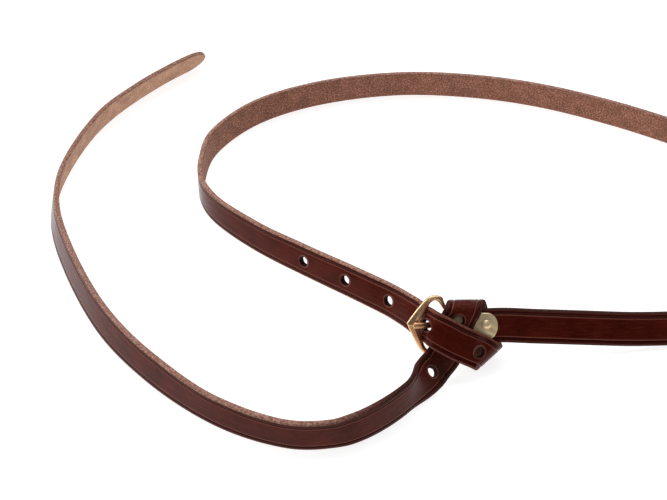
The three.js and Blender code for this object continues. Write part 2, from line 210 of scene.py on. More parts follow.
def add_lights():
    world = bpy.data.worlds.new("studio")
    world.use_nodes = True
    background = world.node_tree.nodes["Background"]
    background.inputs["Color"].default_value = (1, 1, 1, 1)
    background.inputs["Strength"].default_value = WORLD_LIGHT
    bpy.context.scene.world = world
    add_area_light("overhead", (-0.1, 0.9, 1.6), (0, 0, 0), (2.4, 1.4), 34)
    add_area_light("left", (-1.5, 0.0, 0.8), (0, 0, 0), (1.4, 1.0), 14)
    add_area_light("front", (0.1, -0.9, 1.5), (0, 0, 0), (1.2, 0.5), 2.5)
    bpy.context.scene.view_settings.view_transform = "Standard"


# ---- Stations along the strap: (middle point, width direction, crease in degrees, cupping) ----
def standing(rows, side):
    """From plan x and y, lean of the top away from the grain side, and lift off the table."""
    stations = []
    for i, (x, y, lean, lift) in enumerate(rows):
        before, after = rows[max(i - 1, 0)], rows[min(i + 1, len(rows) - 1)]
        run = Vector((after[0] - before[0], after[1] - before[1], 0)).normalized()
        grain = Vector((run.y, -run.x, 0)) * side
        s = math.sin(rad(lean))
        width = Vector((-grain.x * s, -grain.y * s, math.cos(rad(lean))))
        z = STRAP_WIDTH / 2 * width.z + CAD_THICK / 2 * abs(s) + lift
        stations.append((Vector((x, y, z)), width * side, 0, 0))
    return stations


def in_knot(rows):
    """From knot a, b, c, the width direction there, and how far the half opposite to it is bent back."""
    stations = []
    for a, b, c, wa, wb, wc, *crease in rows:
        width = (KNOT_TURN @ Vector((wa, wb, wc))).normalized()
        stations.append((KNOT @ Vector((a, b, c)), width, crease[0] if crease else 0, 0))
    return stations


def fold(a, b, c, heading, axis_angle, axis_dip, radius, front, steps):
    """Half a turn round an axis across the face, as a strap folds over an edge. Angles in degrees."""
    angle, dip = rad(axis_angle), rad(axis_dip)
    axis = Vector((math.cos(angle) * math.cos(dip), math.sin(angle) * math.cos(dip), -math.sin(dip)))
    run = Vector((math.cos(rad(heading)), math.sin(rad(heading)), 0))
    normal = axis.cross(run).normalized()
    normal *= math.copysign(1, normal.z) * front
    width = normal.cross(run)
    along = run.dot(axis)
    across = math.sqrt(1 - along * along)
    sense = math.copysign(1, axis.cross(run).dot(normal))
    start = Vector((a, b, c))
    centre = start - normal * radius
    stations = []
    for i in range(steps + 1):
        turn = math.pi * i / steps
        spin = Quaternion(axis, -sense * turn)
        point = centre + spin @ (start - centre) + axis * (along / across * radius * turn)
        # Leather folded at a slant cups across its width, most in the middle of the turn.
        cup = along * along / radius * (0.4 + 0.6 * math.sin(turn))
        stations.append((KNOT @ point, KNOT_TURN @ (spin @ width), 0, cup))
    return stations


ANCHORED = in_knot([
    (-10.5, 0, 0, 0, 1, 0),
    (0, 0, 0, 0, 1, 0),
    (14, 0.5, 0, 0, 1, 0),
])
LOOP = standing([
    (30, 3, 30, 8.4),
    (45, 4, 30, 6.7),
    (60, 5, 30, 5),
    (90, 7.2, 30, 1.6),
    (120, 9.6, 29, 0),
    (165, 12.6, 24, 0),
    (215, 20.5, 17, 0),
    (252, 44, 11, 0),
    (267, 84, 7, 0),
    (255, 126, 4, 0),
    (222, 161, 1, 0),
    (178, 190, 0, 0),
    (124, 224, 1, 0),
    (70, 249, 3, 0),
    (19, 261.5, 3, 0),
    (-35, 264, 3, 0),
    (-97, 250, 0, 0),
    (-141, 224, -3, 0),
    (-167, 188, -3, 0),
    (-171.5, 162, 0, 0),
    (-170, 138, 2, 0),
    (-160, 117, 6, 0.5),
    (-131, 87, 11, 2),
    (-100, 61.5, 15, 5),
    (-69, 37, 18, 8.5),
    (-49, 20.8, 20, 10.5),
], 1)
OVER_BAR = in_knot([
    (-40.4, 5.2, -17.2, 0.15, 0.95, 0.25),
    (-35.4, 3, -9.8, 0.12, 0.98, 0.12),
    (-31.9, 0.7, -4.4, 0.08, 0.99, 0.03),
    (-29.8, 0.2, 0.5, 0.09, 1, 0),
    (-27.2, -1, 5, 0.14, 0.98, 0),
    (-22, -3.4, 8.1, 0.35, 0.93, 0),
    (-15, -7, 8.6, 0.48, 0.87, -0.04),
    (-8, -10.1, 8.5, 0.48, 0.87, -0.1),
])
LOWER_FOLD = fold(-0.2, -13.7, 7, -29.5, 38.5, 13, 6.7, 1, 8)
RISER = in_knot([
    (-1.5, -0.6, -6.5, 0.92, 0.39, 0),
])
UPPER_FOLD = fold(-4.6, 7.7, -6.5, 115, 1, 0, 5.65, -1, 8)
WRAP = in_knot([
    (-15.4, 0, 4.7, 0.93, -0.36, 0, 23),
    (-17, -9, 4.6, 0.93, -0.36, 0, 28),
    (-20.3, -16.2, 4.9, 0.93, -0.37, -0.08, 24),
    (-25.9, -22.3, 7.3, 0.93, -0.38, -0.16, 8),
])
TAIL = standing([
    (-42, -43, 10, 0.7),
    (-58, -56, 9, 0),
    (-72, -64, 8, 0),
    (-84, -67.5, 3, 0),
    (-106, -67.5, 3, 0),
    (-144, -52.5, 7, 0),
    (-184, -21, 14, 0),
    (-216, 15.5, 17, 0),
    (-247.5, 71.5, 17, 0),
    (-262.5, 111.5, 16, 0),
    (-266, 150, 15, 0),
    (-252, 214, 17, 0),
    (-231.5, 250.5, 21, 0),
    (-205, 283.5, 24, 0),
    (-184, 304, 27, 0),
], -1)
STRETCHES = [ANCHORED, LOOP, OVER_BAR, LOWER_FOLD, RISER, UPPER_FOLD, WRAP, TAIL]
STATIONS = [station for stretch in STRETCHES for station in stretch]


def between(p1, p2, t1, t2, share):
    """Points on the cubic curve from p1 to p2 with the tangents t1 and t2, at shares of the way."""
    s = share[:, None]
    square = (-3 * p1 + 3 * p2 - 2 * t1 - t2) * s ** 2
    cube = (2 * p1 - 2 * p2 + t1 + t2) * s ** 3
    return p1 + t1 * s + square + cube


def centripetal(p0, p1, p2, p3, share):
    """One span of a centripetal Catmull-Rom curve, at shares between p1 and p2."""
    d0, d1, d2 = ((q - p).length ** 0.5 for p, q in ((p0, p1), (p1, p2), (p2, p3)))
    p0, p1, p2, p3 = (np.array(p) for p in (p0, p1, p2, p3))
    t1 = ((p1 - p0) / d0 - (p2 - p0) / (d0 + d1) + (p2 - p1) / d1) * d1
    t2 = ((p2 - p1) / d1 - (p3 - p1) / (d1 + d2) + (p3 - p2) / d2) * d1
    return between(p1, p2, t1, t2, share)


def build_route():
    """The middle line, run, width direction, crease and cupping at close steps of distance."""
    points = [station[0] for station in STATIONS]
    points = [2 * points[0] - points[1], *points, 2 * points[-1] - points[-2]]
    share = np.arange(SAMPLES_PER_SPAN) / SAMPLES_PER_SPAN
    smooth = share * share * (3 - 2 * share)
    route, widths, creases, cups = [], [], [], []
    for i in range(len(STATIONS) - 1):
        route.append(centripetal(*points[i:i + 4], share))
        here, there = STATIONS[i], STATIONS[i + 1]
        widths.append(np.outer(1 - smooth, np.array(here[1])) + np.outer(smooth, np.array(there[1])))
        creases.append(here[2] + (there[2] - here[2]) * smooth)
        cups.append(here[3] + (there[3] - here[3]) * smooth)
    route.append(np.array([points[-2]]))
    widths.append(np.array([STATIONS[-1][1]]))
    creases.append(np.array([STATIONS[-1][2]]))
    cups.append(np.array([STATIONS[-1][3]]))
    route, widths = np.concatenate(route), np.concatenate(widths)
    lengths = np.concatenate([[0], np.cumsum(np.linalg.norm(np.diff(route, axis=0), axis=1))])
    runs = np.gradient(route, lengths, axis=0)
    runs /= np.linalg.norm(runs, axis=1)[:, None]
    widths -= runs * np.sum(widths * runs, axis=1)[:, None]
    widths /= np.linalg.norm(widths, axis=1)[:, None]
    return lengths, route, runs, widths, np.concatenate(creases), np.concatenate(cups)


LENGTHS, ROUTE, RUNS, WIDTHS, CREASES, CUPS = build_route()
STRAP_LENGTH = LENGTHS[-1]


def distance_to(stretch, number):
    """How far along the strap a station of a stretch is."""
    before = sum(len(s) for s in STRETCHES[:STRETCHES.index(stretch)])
    return LENGTHS[(before + number) * SAMPLES_PER_SPAN]


def along_route(table, distance):
    """A table of vectors read at the distances."""
    return np.stack([np.interp(distance, LENGTHS, table[:, k]) for k in range(3)], axis=-1)


def on_strap(flat):
    """Flat strap points (distance along, offset across, offset off the middle layer) to the CAD frame."""
    distance, across, off = flat[:, 0], flat[:, 1], flat[:, 2]
    run = along_route(RUNS, distance)
    width = along_route(WIDTHS, distance)
    width -= run * np.sum(width * run, axis=1)[:, None]
    width /= np.linalg.norm(width, axis=1)[:, None]
    normal = np.cross(run, width)
    bend = np.radians(np.interp(distance, LENGTHS, CREASES)) * np.clip(-across / 2 + 0.5, 0, 1)
    side = width * np.cos(bend)[:, None] + normal * np.sin(bend)[:, None]
    out = normal * np.cos(bend)[:, None] - width * np.sin(bend)[:, None]
    sunk = np.interp(distance, LENGTHS, CUPS) * across ** 2 / 2
    near = np.clip(1 - np.abs(distance - WRINKLED_AT - WRINKLE_OFFSET) / WRINKLE_REACH, 0, 1)
    ripple = sum(np.sin(lengthwise * distance + sideways * across) for lengthwise, sideways in WRINKLE_WAVES)
    off = off + WRINKLE_DEPTH * near * near * ripple * (off > 0)
    place = along_route(ROUTE, distance) + side * across[:, None] + out * (off - sunk)[:, None]
    return (place + np.array(SHIFT)) * MM


TONGUE_HOLE_AT = distance_to(OVER_BAR, 3)
PUNCHED = [(TONGUE_HOLE_AT + step * HOLE_PITCH, HOLE_DIAMETER) for step in (-3, -2, -1)]
PUNCHED += [(TONGUE_HOLE_AT, TONGUE_HOLE_LENGTH)]
PUNCHED += [(TONGUE_HOLE_AT + step * KNOT_HOLE_PITCH, HOLE_DIAMETER) for step in (1, 2, 3, 4)]
KNOT_MIDDLE = distance_to(UPPER_FOLD, 4)
WRINKLED_AT = distance_to(WRAP, 3)


# ---- Materials ----
def noise(nodes, links, vector, scale, detail=4.0, roughness=0.55):
    node = nodes.new("ShaderNodeTexNoise")
    node.inputs["Scale"].default_value = scale
    node.inputs["Detail"].default_value = detail
    node.inputs["Roughness"].default_value = roughness
    links.new(vector, node.inputs["Vector"])
    return node.outputs["Fac"]


def ramp(nodes, links, value, *stops):
    node = nodes.new("ShaderNodeValToRGB")
    elements = node.color_ramp.elements
    while len(elements) < len(stops):
        elements.new(0.5)
    for element, (position, color) in zip(elements, stops):
        element.position = position
        element.color = color if len(color) == 4 else (*color, 1)
    links.new(value, node.inputs["Fac"])
    return node.outputs["Color"]


def mix_colors(nodes, links, factor, first, second, blend="MIX"):
    node = nodes.new("ShaderNodeMix")
    node.data_type = "RGBA"
    node.blend_type = blend
    sockets = [s for s in node.inputs if s.enabled]
    for socket, value in zip(sockets, (factor, first, second)):
        if isinstance(value, (int, float)):
            socket.default_value = value
        elif isinstance(value, tuple):
            socket.default_value = (*value, 1)
        else:
            links.new(value, socket)
    return [s for s in node.outputs if s.enabled][0]


def math_node(nodes, links, operation, first, second=0.0):
    node = nodes.new("ShaderNodeMath")
    node.operation = operation
    for socket, value in zip(node.inputs, (first, second)):
        if isinstance(value, (int, float)):
            socket.default_value = value
        else:
            links.new(value, socket)
    return node.outputs[0]


def multiply(nodes, links, first, second):
    return math_node(nodes, links, "MULTIPLY", first, second)


def bump(nodes, links, shader, height, distance, strength=1.0, before=None):
    node = nodes.new("ShaderNodeBump")
    node.inputs["Strength"].default_value = strength
    node.inputs["Distance"].default_value = distance
    links.new(height, node.inputs["Height"])
    if before is not None:
        links.new(before, node.inputs["Normal"])
    links.new(node.outputs["Normal"], shader.inputs["Normal"])
    return node.outputs["Normal"]


def flat_coordinates(nodes, links, stretch=1.0):
    """The flat strap's own coordinates, in millimetres, squeezed along its length by stretch."""
    uv = nodes.new("ShaderNodeUVMap")
    uv.uv_map = "flat"
    mapping = nodes.new("ShaderNodeMapping")
    mapping.inputs["Scale"].default_value = (1 / stretch, 1, 1)
    links.new(uv.outputs["UV"], mapping.inputs["Vector"])
    return mapping.outputs["Vector"]


def across_strap(nodes, links):
    """The distance along the strap, and how far off its middle line a point is."""
    separate = nodes.new("ShaderNodeSeparateXYZ")
    links.new(flat_coordinates(nodes, links), separate.inputs["Vector"])
    return separate.outputs["X"], math_node(nodes, links, "ABSOLUTE", separate.outputs["Y"])


def map_range(nodes, links, value, low, high):
    """Nothing at low, one at high, smooth between them."""
    node = nodes.new("ShaderNodeMapRange")
    node.interpolation_type = "SMOOTHSTEP"
    node.inputs["From Min"].default_value = low
    node.inputs["From Max"].default_value = high
    links.new(value, node.inputs["Value"])
    return node.outputs["Result"]


def band(nodes, links, value, centre, reach):
    """One at the centre, fading to nothing a reach away."""
    away = math_node(nodes, links, "ABSOLUTE", math_node(nodes, links, "SUBTRACT", value, centre))
    return math_node(nodes, links, "SUBTRACT", 1.0, map_range(nodes, links, away, 0, reach))


def from_hole(nodes, links, along, across):
    """How far a point of the strap is from the middle of the nearest punched hole."""
    distance = None
    for at, _ in PUNCHED:
        offset = math_node(nodes, links, "SUBTRACT", along, at)
        squares = multiply(nodes, links, offset, offset), multiply(nodes, links, across, across)
        away = math_node(nodes, links, "SQRT", math_node(nodes, links, "ADD", *squares))
        distance = away if distance is None else math_node(nodes, links, "MINIMUM", distance, away)
    return distance


def grain_leather():
    """Smooth oxblood leather: darker borders, painted highlights beside the creases and along the edge
    corners, painted shade in the crease grooves and the wrinkles, and pressed hole rims with a painted
    highlight ring and painted shade at their edge.
    """
    material, nodes, links, shader = new_material("leather_grain")
    plain = flat_coordinates(nodes, links)
    drawn = flat_coordinates(nodes, links, 9.0)
    along, across = across_strap(nodes, links)

    def paint(color, over, mask, strength):
        return mix_colors(nodes, links, multiply(nodes, links, mask, strength), color, over)

    cloud = noise(nodes, links, plain, 0.07, 5)
    color = ramp(nodes, links, cloud, (0.3, (0.046, 0.0036, 0.0020)), (0.7, (0.090, 0.0095, 0.0055)))
    streak = map_range(nodes, links, noise(nodes, links, drawn, 1.1, 3), 0.45, 0.8)
    color = paint(color, (0.17, 0.030, 0.018), streak, 0.35)
    border = map_range(nodes, links, across, CREASE_AT - 0.1, CREASE_AT + 0.3)
    color = paint(color, (0.030, 0.0030, 0.0022), border, 0.62)
    # Painted highlight: a pale line on the groove wall just inside each crease.
    color = paint(color, (0.26, 0.085, 0.060), band(nodes, links, across, CREASE_AT - 0.55, 0.55), 0.75)
    # Painted shade: dark along the bottom of each crease groove.
    color = paint(color, (0.010, 0.001, 0.001), band(nodes, links, across, CREASE_AT, 0.4), 0.8)
    # Painted highlight along each edge corner, where the bevel catches the light.
    color = paint(color, (0.22, 0.075, 0.052), band(nodes, links, across, 8.85, 0.4), 0.4)
    crackle = noise(nodes, links, flat_coordinates(nodes, links, 0.7), 0.85, 5, 0.65)
    wrinkle = multiply(nodes, links, crackle, band(nodes, links, along, WRINKLED_AT, 24))
    # Painted shade: the wrinkles near the wrap are darkened in their folds.
    color = paint(color, (0.012, 0.003, 0.002), map_range(nodes, links, wrinkle, 0.38, 0.6), 0.85)
    away = from_hole(nodes, links, along, across)
    rim = HOLE_DIAMETER / 2
    # Painted highlight: a pale ring round each hole.
    color = paint(color, (0.30, 0.13, 0.10), band(nodes, links, away, rim + 0.75, 0.55), 0.55)
    # Painted shade: dark right at each hole's edge.
    color = paint(color, (0.012, 0.002, 0.0015), band(nodes, links, away, rim, 0.6), 0.8)
    links.new(color, shader.inputs["Base Color"])
    scuff = ramp(nodes, links, noise(nodes, links, drawn, 0.6, 5), (0.35, (0.17,) * 3), (0.7, (0.30,) * 3))
    links.new(scuff, shader.inputs["Roughness"])
    shader.inputs["Specular IOR Level"].default_value = 0.16
    shader.inputs["Specular Tint"].default_value = (1.0, 0.5, 0.36, 1)
    pores = nodes.new("ShaderNodeTexVoronoi")
    pores.inputs["Scale"].default_value = 1.7
    links.new(flat_coordinates(nodes, links, 1.4), pores.inputs["Vector"])
    first = bump(nodes, links, shader, pores.outputs["Distance"], 0.00003, 0.5)
    slope = map_range(nodes, links, away, rim - 0.2, rim + 1.2)
    pressed = bump(nodes, links, shader, slope, 0.0005, 0.8, first)
    folds = noise(nodes, links, flat_coordinates(nodes, links, 0.5), 0.5, 4, 0.6)
    worked = multiply(nodes, links, folds, band(nodes, links, along, KNOT_MIDDLE, 75))
    worked = math_node(nodes, links, "ADD", worked, multiply(nodes, links, wrinkle, 2.0))
    creased = bump(nodes, links, shader, worked, 0.0012, 0.6, pressed)
    bump(nodes, links, shader, noise(nodes, links, drawn, 0.35, 3), 0.0005, 0.35, creased)
    return material


def cut_edge():
    """Pale fibres, darker near the plate and in the knot, half dark where the strap enters it."""
    material, nodes, links, shader = new_material("leather_edge")
    plain = nodes.new("ShaderNodeTexCoord").outputs["Object"]
    fibre = noise(nodes, links, plain, 900, 5, 0.7)
    shades = [(0.36, (0.13, 0.052, 0.038)), (0.5, (0.34, 0.165, 0.125)), (0.66, (0.62, 0.40, 0.31))]
    color = ramp(nodes, links, fibre, *shades)
    along, _ = across_strap(nodes, links)
    before_tail = map_range(nodes, links, along, KNOT_MIDDLE + 145, KNOT_MIDDLE + 70)
    near_buckle = map_range(nodes, links, along, KNOT_MIDDLE - 115, KNOT_MIDDLE - 85)
    # Darker from a little before the knot to the start of the tail.
    darker_by_knot = multiply(nodes, links, multiply(nodes, links, near_buckle, before_tail), 0.85)
    color = mix_colors(nodes, links, darker_by_knot, color, (0.13, 0.035, 0.022))
    near_plate = math_node(nodes, links, "SUBTRACT", 1.0, map_range(nodes, links, along, 230, 420))
    past_bar = map_range(nodes, links, along, KNOT_MIDDLE - 40, KNOT_MIDDLE - 15)
    tied = multiply(nodes, links, past_bar, before_tail)
    # Darker near the plate end and where the strap runs through the knot.
    darker_by_plate_and_knot = multiply(nodes, links, math_node(nodes, links, "MAXIMUM", near_plate, tied), 0.93)
    color = mix_colors(nodes, links, darker_by_plate_and_knot, color, (0.035, 0.006, 0.004))
    links.new(color, shader.inputs["Base Color"])
    shader.inputs["Roughness"].default_value = 0.85
    shader.inputs["Specular IOR Level"].default_value = 0.2
    bump(nodes, links, shader, fibre, 0.0004, 0.8)
    return material


def shaded_hole_wall():
    """The rough inside of a punched hole, painted dark as shade inside the hole."""
    material, nodes, links, shader = new_material("leather_hole_wall_shade")
    plain = nodes.new("ShaderNodeTexCoord").outputs["Object"]
    fibre = noise(nodes, links, plain, 1200, 4, 0.7)
    color = ramp(nodes, links, fibre, (0.35, (0.012, 0.004, 0.003)), (0.7, (0.055, 0.020, 0.012)))
    links.new(color, shader.inputs["Base Color"])
    shader.inputs["Roughness"].default_value = 0.9
    shader.inputs["Specular IOR Level"].default_value = 0.1
    bump(nodes, links, shader, fibre, 0.0003, 0.7)
    return material


def flesh_side():
    """The rough back of the leather, paler towards the tip."""
    material, nodes, links, shader = new_material("leather_flesh")
    plain = flat_coordinates(nodes, links)
    along, _ = across_strap(nodes, links)
    nap = noise(nodes, links, plain, 0.9, 9, 0.82)
    shades = [(0.38, (0.060, 0.018, 0.010)), (0.5, (0.34, 0.125, 0.072)), (0.60, (0.80, 0.40, 0.27))]
    color = ramp(nodes, links, nap, *shades)
    shades = [(0.36, (0.30, 0.12, 0.07)), (0.5, (0.70, 0.37, 0.23)), (0.64, (0.98, 0.66, 0.45))]
    pale = ramp(nodes, links, nap, *shades)
    color = mix_colors(nodes, links, map_range(nodes, links, along, 1480, 1640), color, pale)
    broad = ramp(nodes, links, noise(nodes, links, plain, 0.12, 4), (0.35, (0.65,) * 3), (0.7, (1.0,) * 3))
    color = mix_colors(nodes, links, 1.0, color, broad, "MULTIPLY")
    links.new(color, shader.inputs["Base Color"])
    shader.inputs["Roughness"].default_value = 0.85
    shader.inputs["Specular IOR Level"].default_value = 0.2
    shader.inputs["Sheen Weight"].default_value = 0.1
    shader.inputs["Sheen Roughness"].default_value = 0.6
    bump(nodes, links, shader, nap, 0.0006, 0.8)
    return material


def brass(name, low, high, roughness, speck, metallic=1.0):
    """Mottled between two colours, with fine specks of the given depth in metres."""
    material, nodes, links, shader = new_material(name)
    plain = nodes.new("ShaderNodeTexCoord").outputs["Object"]
    tone = noise(nodes, links, plain, 260, 5)
    links.new(ramp(nodes, links, tone, (0.35, low), (0.65, high)), shader.inputs["Base Color"])
    shader.inputs["Metallic"].default_value = metallic
    fine = noise(nodes, links, plain, 1500, 6, 0.7)
    spread = ramp(nodes, links, fine, (0.3, (roughness - 0.06,) * 3), (0.7, (roughness + 0.08,) * 3))
    links.new(spread, shader.inputs["Roughness"])
    bump(nodes, links, shader, fine, speck, 0.5)
    return material


GRAIN, EDGE, FLESH, SHADED_HOLE_WALL = range(4)
LEATHERS = [grain_leather(), cut_edge(), flesh_side(), shaded_hole_wall()]
CAST_BRASS = brass("cast_brass", (0.82, 0.50, 0.27), (0.96, 0.66, 0.40), 0.3, 0.00001)
SHEET_BRASS = brass("sheet_brass", (1.0, 0.76, 0.42), (1.0, 0.86, 0.55), 0.32, 0.00001, 0.5)
PIN_BRASS = brass("pin_brass", (0.55, 0.26, 0.12), (0.80, 0.46, 0.25), 0.4, 0.00003)


# ---- Strap ----
def strap_section():
    """The section's ring of (offset across, offset off the middle), and what covers each side of it."""
    top, low = LEATHER_THICK / 2, -LEATHER_THICK / 2
    half = STRAP_WIDTH / 2
    right = [
        (0, top, GRAIN),
        (2.5, top, GRAIN),
        (5, top - 0.03, GRAIN),
        (CREASE_AT - 0.75, top - 0.04, GRAIN),
        (CREASE_AT - 0.35, top - 0.12, GRAIN),
        (CREASE_AT - 0.1, top - 0.42, GRAIN),
        (CREASE_AT + 0.15, top - 0.42, GRAIN),
        (CREASE_AT + 0.4, top - 0.16, GRAIN),
        (CREASE_AT + 0.8, top - 0.08, GRAIN),
        (half - 1.0, top - 0.12, EDGE),
        (half - 0.45, top - 0.42, EDGE),
        (half - 0.12, top - 0.78, EDGE),
        (half, top - 1.2, EDGE),
        (half, low + 0.9, EDGE),
        (half - 0.15, low + 0.35, EDGE),
        (half - 0.55, low + 0.06, FLESH),
        (half - 1.4, low, FLESH),
        (6, low, FLESH),
        (3, low, FLESH),
    ]
    covers = [cover for _, _, cover in right]
    left = [(-across, off) for across, off, _ in right[1:]]
    ring = [(across, off) for across, off, _ in right] + [(0, low)] + left[::-1]
    return ring, covers + [FLESH] + covers[-2::-1]


def half_width_share(distance):
    """The strap narrows to a rounded tip."""
    left = STRAP_LENGTH - distance
    if left >= TIP_LENGTH:
        return 1.0
    share = 1 - left / TIP_LENGTH
    return math.sqrt(1 - TIP_NARROWING * share * share)


def thickness_share(distance):
    """The leather is pressed thinner where it is pulled tight through the knot and the plate."""
    tight_from, tight_to = distance_to(OVER_BAR, 0), distance_to(TAIL, 0)
    outside = max(tight_from - distance, distance - tight_to, 0)
    outside = min(outside, max(distance - distance_to(LOOP, 0), 0))
    share = min(outside / THINNING_REACH, 1)
    return KNOT_THINNING + (1 - KNOT_THINNING) * share * share * (3 - 2 * share)


def ring_distances(start, end):
    """Rings a millimetre apart in the knot and at the tip, wider on the easy curves."""
    fine_from, fine_to = distance_to(OVER_BAR, 0) - 5, distance_to(TAIL, 0)
    rings, here = [], start
    while here < end - 0.5:
        rings.append(here)
        fine = fine_from < here < fine_to or here > STRAP_LENGTH - TIP_LENGTH - 1
        here += FINE_RING if fine else WIDE_RING
    return rings + [end]


def punch_holes(mesh_object, start, end):
    """Cut the holes while the strap is still flat."""
    cutters = bmesh.new()
    holes = [(at, 0, length, HOLE_DIAMETER) for at, length in PUNCHED]
    holes.append((distance_to(ANCHORED, 1) + RIVET_A, RIVET_B, RIVET_HOLE, RIVET_HOLE))
    for at, across, length, diameter in holes:
        if not start < at < end:
            continue
        shape = Matrix.Translation((at, across, 0)) @ Matrix.Diagonal((length / diameter, 1, 1, 1))
        bmesh.ops.create_cone(cutters, cap_ends=True, segments=HOLE_SIDES, radius1=diameter / 2,
                              radius2=diameter / 2, depth=4 * LEATHER_THICK, matrix=shape)
    if cutters.verts:
        mesh = bpy.data.meshes.new("punches")
        cutters.to_mesh(mesh)
        for material in LEATHERS:
            mesh.materials.append(material)
        for polygon in mesh.polygons:
            # The hole walls get the material painted dark as shade.
            polygon.material_index = SHADED_HOLE_WALL
        cutter = bpy.data.objects.new("punches", mesh)
        bpy.context.scene.collection.objects.link(cutter)
        cut_with(mesh_object, cutter, "DIFFERENCE")
    cutters.free()


def cut_with(target, cutter, operation):
    modifier = target.modifiers.new("cut", "BOOLEAN")
    modifier.operation = operation
    modifier.solver = "EXACT"
    modifier.object = cutter
    apply_modifiers(target)
    bpy.data.objects.remove(cutter)


def apply_modifiers(target):
    bpy.context.view_layer.update()
    evaluated = target.evaluated_get(bpy.context.evaluated_depsgraph_get())
    mesh = bpy.data.meshes.new_from_object(evaluated)
    target.modifiers.clear()
    target.data = mesh


def add_object(name, vertices, faces, materials=()):
    mesh = bpy.data.meshes.new(name)
    mesh.from_pydata([tuple(v) for v in vertices], [], faces)
    for material in materials:
        mesh.materials.append(material)
    piece = bpy.data.objects.new(name, mesh)
    bpy.context.scene.collection.objects.link(piece)
    return piece


def shade(piece, angle=35):
    piece.data.polygons.foreach_set("use_smooth", [True] * len(piece.data.polygons))
    piece.data.set_sharp_from_angle(angle=rad(angle))
    piece.data.update()


def flat_strap(name, start, end):
    """The stretch of strap laid flat: x along it, y across it, z off its middle layer."""
    section, covers = strap_section()
    rings = ring_distances(start, end)
    count = len(section)
    vertices = []
    for distance in rings:
        wide, thick = half_width_share(distance), thickness_share(distance)
        vertices += [(distance, across * wide, off * thick) for across, off in section]
    faces, cover_of = [], []
    for i in range(len(rings) - 1):
        for k in range(count):
            a, b = i * count + k, i * count + (k + 1) % count
            faces.append((a, a + count, b + count, b))
            cover_of.append(covers[k])
    faces.append(tuple(range(count)))
    faces.append(tuple(reversed(range((len(rings) - 1) * count, len(rings) * count))))
    cover_of += [EDGE, EDGE]
    piece = add_object(name, vertices, faces, LEATHERS)
    piece.data.polygons.foreach_set("material_index", cover_of)
    return piece


def strap_piece(name, start, end):
    """The flat stretch with its holes, bent to the route; the flat places stay as its UV map."""
    piece = flat_strap(name, start, end)
    punch_holes(piece, start, end)
    mesh = piece.data
    flat = np.zeros(len(mesh.vertices) * 3)
    mesh.vertices.foreach_get("co", flat)
    flat = flat.reshape(-1, 3)
    corner = np.zeros(len(mesh.loops), dtype=int)
    mesh.loops.foreach_get("vertex_index", corner)
    layer = mesh.uv_layers.new(name="flat")
    layer.data.foreach_set("uv", flat[corner][:, :2].ravel())
    mesh.vertices.foreach_set("co", on_strap(flat).ravel())
    mesh.update()
    shade(piece)
    return piece


LOOP_NODES = [
    "strap_anchored_end", "strap_near_run", "strap_right_turn", "strap_far_run", "strap_left_turn",
    "strap_hole_run", "strap_over_bar", "strap_lower_fold", "strap_riser", "strap_upper_fold",
    "strap_wrap", "strap_tail_start",
]
TAIL_BODIES = ["strap", "strap_tail_1", "strap_tail_2", "strap_tail_3", "strap_tail_4", "strap_tail_tip"]
BENDS = [distance_to(TAIL, number) for number in (2, 5, 7, 9, 11)]


def route_place(distance):
    return tuple(on_strap(np.array([[distance, 0, 0]]))[0])


def add_strap():
    """The loop and knot up to the first bend, then one piece of tail across each bend."""
    middles = [(distance_to(WRAP, 3) + BENDS[0]) / 2]
    middles += [(here + there) / 2 for here, there in zip(BENDS, BENDS[1:])]
    middles.append(STRAP_LENGTH)
    loop = strap_piece("leather_loop", 0, middles[0])
    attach(loop, "strap")
    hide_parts(*LOOP_NODES)
    for i, bend in enumerate(BENDS):
        tail = strap_piece(f"leather_tail_{i + 1}", middles[i], middles[i + 1])
        route_place(bend - BEND_REACH)
        route_place(bend + BEND_REACH)
        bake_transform(tail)
        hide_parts(TAIL_BODIES[i + 1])


# ---- Hardware, in the hinge's own frame or the knot's, in millimetres ----
def to_frame(piece, matrix):
    """From millimetres in the given frame to the CAD frame."""
    piece.data.transform(Matrix.Diagonal((MM, MM, MM, 1)) @ Matrix.Translation(SHIFT) @ matrix)
    piece.data.update()


def hinge_matrix():
    """The bar's own frame: x towards the heart's point, y along the bar."""
    turn = Matrix.Rotation(-rad(FRAME_SWING), 4, "Y") @ Matrix.Rotation(math.pi, 4, "Z")
    return KNOT @ Matrix.Translation((BAR_A, BAR_B, 0)) @ turn


def sweep(name, centres, frames, outlines):
    """A closed skin over one outline at each centre; frames gives the outline's two directions."""
    vertices, faces = [], []
    count = len(outlines[0])
    for centre, (first, second), outline in zip(centres, frames, outlines):
        vertices += [centre + first * x + second * y for x, y in outline]
    rows = len(centres)
    for i in range(rows - 1):
        j = i + 1
        for k in range(count):
            n = (k + 1) % count
            faces.append((i * count + k, i * count + n, j * count + n, j * count + k))
    faces.append(tuple(reversed(range(count))))
    faces.append(tuple(range((rows - 1) * count, rows * count)))
    piece = add_object(name, vertices, faces)
    bm = bmesh.new()
    bm.from_mesh(piece.data)
    bmesh.ops.recalc_face_normals(bm, faces=bm.faces)
    bm.to_mesh(piece.data)
    bm.free()
    return piece


def smooth_through(rows, per_span):
    """Points on a smooth curve through the rows."""
    rows = [np.array(row, dtype=float) for row in rows]
    padded = [2 * rows[0] - rows[1], *rows, 2 * rows[-1] - rows[-2]]
    share = np.arange(per_span) / per_span
    points = []
    for i in range(len(rows) - 1):
        p0, p1, p2, p3 = padded[i:i + 4]
        t1, t2 = (p2 - p0) / 2, (p3 - p1) / 2
        points.append(between(p1, p2, t1, t2, share))
    points.append(rows[-1][None, :])
    return np.concatenate(points)


def mirrored_curve(half_outline, per_span):
    """Both halves of the outline, meeting in a sharp corner at the point of the heart."""
    half = smooth_through(half_outline, per_span)
    return np.concatenate([half[:0:-1] * (1, -1), half])


